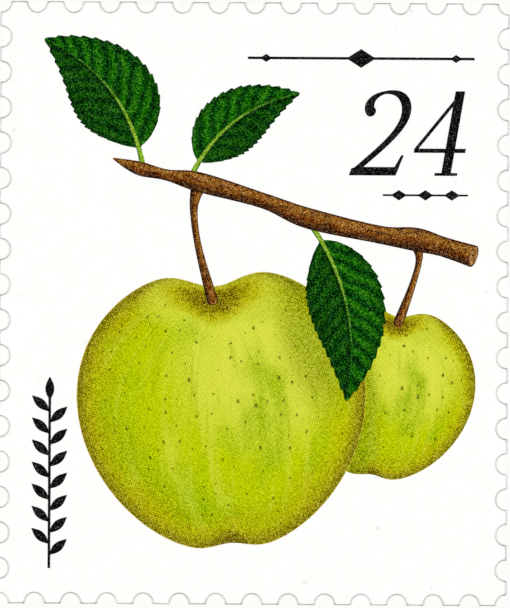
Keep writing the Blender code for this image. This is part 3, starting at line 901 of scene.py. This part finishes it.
def paint_spots(tree, ball, half_width, tone):
    """Spots on the map (x, y) / (1 + forward), where a cell's point is nearer than its own random size."""
    shrink = calc(tree, "DIVIDE", 1.0, calc(tree, "ADD", parts_of(tree, ball)[2], 1.0))
    flat = add_node(tree, "ShaderNodeVectorMath", {0: ball, "Scale": shrink}, operation="SCALE").outputs[0]
    inputs = {"Vector": flat, "Rotation": (0.0, 0.0, np.radians(20)), "Scale": (1.0, 0.7, 1.0)}
    slanted = add_node(tree, "ShaderNodeMapping", inputs).outputs[0]
    inputs = {"Vector": slanted, "Scale": SPOTS_PER_MM * half_width, "Randomness": 0.9}
    cells = add_node(tree, "ShaderNodeTexVoronoi", inputs, voronoi_dimensions="2D").outputs
    radius = calc(tree, "MULTIPLY", parts_of(tree, cells["Color"])[0], SPOT_SIZE)
    outside = calc(tree, "SUBTRACT", cells["Distance"], radius)
    return lay(tree, soft_step(tree, outside, 0.05, -0.05, high=0.9), tone, SKIN_SPOT)


def paint_skin(half_width, shadows):
    """The whole skin, from large forms to small, and the shadows that fall on it."""
    def paint(tree, spot):
        ball = read(tree, "ball")
        skin = read(tree, "skin")
        tone = paint_patches(tree, ball, paint_ball(tree, ball))
        tone = paint_rim(tree, ball, spot, paint_streaks(tree, skin, tone))
        tone = paint_spots(tree, ball, half_width, paint_hollow(tree, skin, tone))
        eye = soft_oval(tree, ball, (0.0, -1.0), (0.2, 0.12))
        tone = lay(tree, soft_step(tree, eye, 0.0, 0.8, high=0.85), tone, SKIN_HOLLOW)
        for shadow in shadows:
            dark = soft_oval(tree, spot, shadow["centre"], shadow["radii"], shadow["turn"])
            tone = lay(tree, soft_step(tree, dark, 0.0, shadow["edge"], shadow["high"]), tone, SKIN_SHADOW)
        return tone
    return paint


SHADOWS_ON = {"apple_front": [LEAF_SHADOW], "apple_back": [LEAF_SHADOW, APPLE_SHADOW]}
for name, apple in apples.items():
    skin_ink = printed(name + "_ink", paint_skin(APPLES[name]["half"][0], SHADOWS_ON[name]))
    place(apple, skin_ink, "ink_fruit", "print_" + name)
    print(skin_ink.name, len(skin_ink.node_tree.nodes), "nodes")

# %% [markdown]
# Ribbons
#
# Leaves, twig and stalks are all ribbons: a middle line, and a half width to the left and to the
# right of it. A curve object with a bevel could do the twig but not the leaf, so one numpy
# function does both. A half oval rounds each end, where the width falls to nothing and the two
# sides meet.

# %% Ribbon helpers
RIBBON_ACROSS = 13
CAP_STEPS = 8


def smooth_path(knots, steps=12):
    """Catmull-Rom curve through a, b, c, d, end knots doubled: cubic in t with tangents (c - a) / 2."""
    knots = np.array(knots)
    padded = np.concatenate([knots[:1], knots, knots[-1:]])
    a, b, c, d = (padded[i:len(padded) - 3 + i, None, :] for i in range(4))
    t = (np.arange(steps) / steps)[None, :, None]
    curve = 0.5 * (2 * b + (c - a) * t + (2 * a - 5 * b + 4 * c - d) * t**2 + (3 * b - a - 3 * c + d) * t**3)
    return np.concatenate([curve.reshape(-1, knots.shape[1]), knots[-1:]])


def left_normals(line):
    """The unit vector to the left of the direction of travel."""
    travel = np.gradient(line, axis=0)
    travel /= np.linalg.norm(travel, axis=1, keepdims=True)
    return np.stack([-travel[:, 1], travel[:, 0]], axis=1)


def add_cap(line, half, depth):
    """Past the end, at angle q, the middle moves on by depth * sin q and the half width is h cos q."""
    q = np.linspace(0, np.pi / 2, CAP_STEPS + 1)[1:]
    onward = line[-1] - line[-2]
    onward = onward / np.linalg.norm(onward)
    cap = line[-1] + depth * np.sin(q)[:, None] * onward
    return np.concatenate([line, cap]), np.append(half, half[-1] * np.cos(q))


def ribbon(name, line, half, level, dark_side, caps=None):
    """Points = line + normal * half width * side, over and back below; band = (run, side, distance)."""
    caps = caps or (half[0], half[-1])
    line, half = add_cap(line, half, caps[1])
    line, half = add_cap(line[::-1], half[::-1], caps[0])
    line, half = line[::-1], half[::-1]
    sides = np.linspace(1, -1, RIBBON_ACROSS)
    sides = np.concatenate([sides, sides[::-1]])
    reach = half[:, None] * sides
    flat = (line[:, None, :] + left_normals(line)[:, None, :] * reach[..., None]) * MM
    bottom, top = film_heights(level)
    height = np.where(np.arange(len(sides)) < RIBBON_ACROSS, top, bottom) + 0 * reach
    steps = np.linalg.norm(np.diff(line, axis=0), axis=1)
    run = np.append(0.0, np.cumsum(steps))[:, None] + 0 * reach
    band = np.stack([run, dark_side * sides + 0 * reach, dark_side * reach], axis=2)
    return grid_piece("ink_" + name, np.dstack([flat, height]), band=band)


# %% [markdown]
# The leaves' shape
#
# A leaf's half width swells and narrows along its midrib, and a saw pattern cuts its edge into
# forward-pointing teeth. The swell is a sine of the way along the blade, raised to powers below one
# so that it fills out early, and tapered a little towards the tip. The lower part of the same
# ribbon is the little stalk, so leaf and stalk are one piece with no seam.

# %% The leaves
LEAVES = {
    "leaf_tall": {"base": (-4.7, 5.7), "tip": (-8.9, 11.15), "bow": -0.9, "half_width": 1.85,
                  "level": 0, "dark_side": 1.0},
    "leaf_short": {"base": (-2.7, 5.3), "tip": (1.9, 8.9), "bow": 0.75, "half_width": 1.35,
                   "level": 0, "dark_side": -1.0},
    "leaf_hanging": {"base": (2.3, 3.5), "tip": (3.95, -4.1), "bow": 0.85, "half_width": 1.65,
                     "level": 2, "dark_side": -1.0},
}
LEAF_TEETH = 16
STEPS_PER_TOOTH = 10
TOOTH_DEPTH = 0.10
LEAF_STALK_SHARE = 0.12
LEAF_STALK_HALF_WIDTH = 0.13
LEAF_TIP_HALF_WIDTH = 0.02
LEAF_TAPER = 0.18
LEAF_FULLNESS = 1.06


def leaf_half_width(share, half_width):
    """1.06 sin(pi b^0.8)^0.85 (1 - 0.18 b) of the half width over the blade b, plus a saw of teeth."""
    blade = np.clip((share - LEAF_STALK_SHARE) / (1 - LEAF_STALK_SHARE), 0, 1)
    swell = np.abs(np.sin(np.pi * blade**0.8))**0.85
    edge = half_width * swell * (1 - LEAF_TAPER * blade) * LEAF_FULLNESS
    tooth = TOOTH_DEPTH * (np.mod(blade * LEAF_TEETH, 1) - 0.5) * np.minimum(1, 3 * blade)
    stalk = np.maximum(LEAF_STALK_HALF_WIDTH * (1 - share)**2, LEAF_TIP_HALF_WIDTH)
    return np.maximum(edge + tooth, stalk)


def leaf_sheet(name, base, tip, bow, half_width, level, dark_side):
    """Midrib = base + run * s + left normal * 4 * bow * s (1 - s)."""
    share = np.linspace(0, 1, LEAF_TEETH * STEPS_PER_TOOTH + 1)
    run = np.subtract(tip, base)
    left = np.array([-run[1], run[0]]) / np.linalg.norm(run)
    line = base + run * share[:, None] + left * (4 * bow * share * (1 - share))[:, None]
    return ribbon(name, line, leaf_half_width(share, half_width), level, dark_side)


leaves = {name: leaf_sheet(name, **form) for name, form in LEAVES.items()}

# %% [markdown]
# The leaves' paint
#
# A leaf is dark green with a pale midrib, and from the midrib side veins slant forward on both
# sides, staggered. The ribbon's own coordinates make this simple: run minus a slant times the
# distance from the midrib is the same number all along a side vein, so a wave of that number
# draws them all. One half of the blade turns from the light, the rim is darkest, and the midrib
# thins out towards the tip with a shadow line at its side.

# %% The leaf ink
LEAF_MID = recipe(1.0, 0.52, 1.0, 0.46)
LEAF_LIGHT = recipe(0.97, 0.3, 1.0, 0.26)
LEAF_DARK = recipe(1.0, 0.66, 1.0, 0.75)
RIB_BASE = recipe(0.68, 0.0, 0.95, 0.08)
RIB_TIP = recipe(0.97, 0.37, 0.99, 0.27)
VEIN_SPACING = 0.72
VEIN_SLANT = 0.95
LEAF_RUN = 7.0
LEAF_STALK_RUN = 0.85
RIB_HALF_WIDTH = 0.1
RIB_THINNING = 0.085


def vein_wave(tree, spot, run, side, distance):
    """0 on a side vein and 1 halfway to the next; the two halves are staggered by half a spacing."""
    away = calc(tree, "ABSOLUTE", distance)
    slanted = calc(tree, "MULTIPLY_ADD", away, -VEIN_SLANT, run)
    staggered = calc(tree, "MULTIPLY_ADD", calc(tree, "SIGN", side), VEIN_SPACING / 4, slanted)
    wavy = calc(tree, "MULTIPLY_ADD", noise(tree, spot, 1.1), 0.8, staggered)
    folded = calc(tree, "PINGPONG", wavy, VEIN_SPACING / 2)
    return calc(tree, "MULTIPLY", folded, 2 / VEIN_SPACING)


def paint_blade(tree, spot, run, side, distance):
    """Light bands between dark side veins, one half darker, darkest at the rim."""
    between = vein_wave(tree, spot, run, side, distance)
    outward = calc(tree, "ABSOLUTE", side)
    tone = lay(tree, soft_step(tree, between, 0.25, 0.95, high=0.85), LEAF_MID, LEAF_LIGHT)
    tone = lay(tree, soft_step(tree, between, 0.4, 0.04, high=0.75), tone, LEAF_DARK)
    tone = lay(tree, soft_step(tree, side, -0.15, 0.15, high=0.42), tone, LEAF_DARK)
    return lay(tree, soft_step(tree, outward, 0.7, 1.0, high=0.6), tone, LEAF_DARK)


def paint_rib(tree, run, side, distance, tone):
    """A line in the middle that thins along the run, paler at the base, with a dark line at one side."""
    thin = calc(tree, "MULTIPLY_ADD", run, -RIB_THINNING / LEAF_RUN, RIB_HALF_WIDTH)
    colour = lay(tree, soft_step(tree, run, 0.5, LEAF_RUN), RIB_BASE, RIB_TIP)
    shadow = calc(tree, "ABSOLUTE", calc(tree, "SUBTRACT", distance, RIB_HALF_WIDTH))
    tone = lay(tree, soft_step(tree, shadow, 0.11, 0.04, high=0.8), tone, LEAF_DARK)
    past = calc(tree, "SUBTRACT", calc(tree, "ABSOLUTE", distance), thin)
    tone = lay(tree, soft_step(tree, past, 0.02, -0.03), tone, colour)
    stalk = soft_step(tree, run, LEAF_STALK_RUN + 0.2, LEAF_STALK_RUN - 0.1)
    tone = lay(tree, stalk, tone, RIB_BASE)
    under = calc(tree, "MULTIPLY", stalk, soft_step(tree, side, 0.1, 0.8, high=0.8))
    return lay(tree, under, tone, RIB_TIP)


def paint_leaf(tree, spot):
    """Blade first, then the rib and the stalk over it."""
    run, side, distance = parts_of(tree, read(tree, "band"))
    return paint_rib(tree, run, side, distance, paint_blade(tree, spot, run, side, distance))


leaf_ink = printed("leaf_ink", paint_leaf)
for name, leaf in leaves.items():
    place(leaf, leaf_ink, "ink_leaf", "print_" + name)
print("leaf ink", len(leaf_ink.node_tree.nodes), "nodes")

# %% [markdown]
# Twig and stalks
#
# The twig is one smooth line through points that each bring their own half width, so it swells
# where leaves and fruit once grew. The two fruit stalks are thinner ribbons on the level below,
# and the sawn end is a small oval on the level above.

# %% The twig, the stalks and the cut end
TWIG_PATH = [
    (9.3, 2.05, 0.47), (8.0, 2.45, 0.42), (6.85, 2.75, 0.50), (5.3, 2.95, 0.38),
    (2.3, 3.62, 0.44), (0.4, 4.35, 0.33), (-2.3, 5.12, 0.42), (-3.7, 5.42, 0.24),
    (-4.75, 5.66, 0.30), (-5.35, 5.86, 0.21), (-5.95, 6.1, 0.04),
]
FRONT_STALK_PATH = [(-2.35, 5.0, 0.33), (-2.55, 4.0, 0.17), (-2.35, 2.4, 0.15), (-1.75, 0.15, 0.24)]
BACK_STALK_PATH = [(6.85, 2.65, 0.30), (7.0, 1.95, 0.15), (6.75, 0.9, 0.14), (6.15, -0.75, 0.22)]
TWIG_CAPS = (0.17, 0.04)
CUT_END = {"centre": (9.3, 2.05), "half_depth": 0.17, "half_width": 0.47, "turn": -17.0}
CUT_COLUMNS = 48


def branch(name, knots, level, dark_side, caps=None):
    """A ribbon along the smooth path, with the path's own half widths."""
    path = smooth_path(knots)
    return ribbon(name, path[:, :2], path[:, 2], level, dark_side, caps)


def cut_end_sheet():
    """An oval: (half depth * cos a, half width * sin a), turned square to the twig."""
    a = np.linspace(0, 2 * np.pi, CUT_COLUMNS, endpoint=False)
    outline = turned(CUT_END["half_depth"] * np.cos(a), CUT_END["half_width"] * np.sin(a), CUT_END["turn"])
    return ring_sheet("ink_cut_end", CUT_END["centre"], outline, a, 4)


twig = branch("twig", TWIG_PATH, 3, 1.0, caps=TWIG_CAPS)
front_stalk = branch("stalk_front", FRONT_STALK_PATH, 2, -1.0)
back_stalk = branch("stalk_back", BACK_STALK_PATH, 2, -1.0)
cut_end = cut_end_sheet()

# %% [markdown]
# Bark and cut wood
#
# The bark is brown, round and grainy: lit along its upper side, dark below, with a thin dark
# outline, fine streaks lengthwise, wrinkles across and a few pale pores. The sawn end is lighter
# wood with a darker ring of bark and a small dark pith.

# %% The bark ink
BARK_MID = recipe(0.64, 0.83, 1.0, 0.38)
BARK_LIGHT = recipe(0.47, 0.67, 0.93, 0.2)
BARK_DARK = recipe(0.85, 0.89, 0.95, 0.68)
BARK_OUTLINE = recipe(0.86, 0.89, 0.93, 0.85)
WOOD = recipe(0.44, 0.61, 0.8, 0.08)


def paint_round(tree, side, tone):
    """Light in a band on the lit side, dark on the other."""
    rising = soft_step(tree, side, -0.98, -0.6)
    lit = calc(tree, "MULTIPLY", rising, soft_step(tree, side, 0.25, -0.35, high=0.85))
    tone = lay(tree, lit, tone, BARK_LIGHT)
    return lay(tree, soft_step(tree, side, 0.1, 0.85, high=0.85), tone, BARK_DARK)


def paint_bark(tree, spot):
    """Round form, then streaks, wrinkles, pores and grain, then the outline."""
    band = read(tree, "band")
    side = parts_of(tree, band)[1]
    tone = paint_round(tree, side, BARK_MID)
    streaks = noise(tree, stretched(tree, band, (1.3, 0.0, 6.5)), 1.0, detail=3.0)
    tone = lay(tree, soft_step(tree, streaks, 0.54, 0.68, high=0.6), tone, BARK_DARK)
    tone = lay(tree, soft_step(tree, streaks, 0.46, 0.34, high=0.5), tone, BARK_LIGHT)
    wrinkles = noise(tree, stretched(tree, band, (6.0, 0.4, 0.6)), 1.0)
    tone = lay(tree, soft_step(tree, wrinkles, 0.58, 0.7, high=0.55), tone, BARK_DARK)
    inputs = {"Vector": stretched(tree, band, (2.3, 0.0, 1.5)), "Scale": 1.2}
    pores = add_node(tree, "ShaderNodeTexVoronoi", inputs).outputs["Distance"]
    tone = lay(tree, soft_step(tree, pores, 0.17, 0.1, high=0.8), tone, WOOD)
    grain = noise(tree, spot, 7.5, detail=3.0, roughness=0.6)
    tone = lay(tree, soft_step(tree, grain, 0.54, 0.66, high=0.3), tone, BARK_LIGHT)
    tone = lay(tree, soft_step(tree, grain, 0.46, 0.34, high=0.25), tone, BARK_DARK)
    outward = calc(tree, "ABSOLUTE", side)
    return lay(tree, soft_step(tree, outward, 0.78, 0.97, high=0.7), tone, BARK_OUTLINE)


def paint_cut_wood(tree, spot):
    """Pale wood, grained, with a dark ring where the ball turns away and a dark pith at its front."""
    forward = parts_of(tree, read(tree, "ball"))[2]
    grain = noise(tree, spot, 8.0, detail=3.0)
    tone = lay(tree, soft_step(tree, grain, 0.45, 0.65, high=0.7), WOOD, BARK_MID)
    tone = lay(tree, soft_step(tree, forward, 0.975, 0.995, high=0.8), tone, BARK_DARK)
    return lay(tree, soft_step(tree, forward, 0.62, 0.3, high=0.9), tone, BARK_DARK)


bark_ink = printed("bark_ink", paint_bark)
wood_ink = printed("cut_wood_ink", paint_cut_wood)
place(twig, bark_ink, "ink_bark", "print_twig")
place(front_stalk, bark_ink, "ink_bark")
place(back_stalk, bark_ink, "ink_bark")
place(cut_end, wood_ink, "ink_bark")
print("bark ink", len(bark_ink.node_tree.nodes), "nodes")
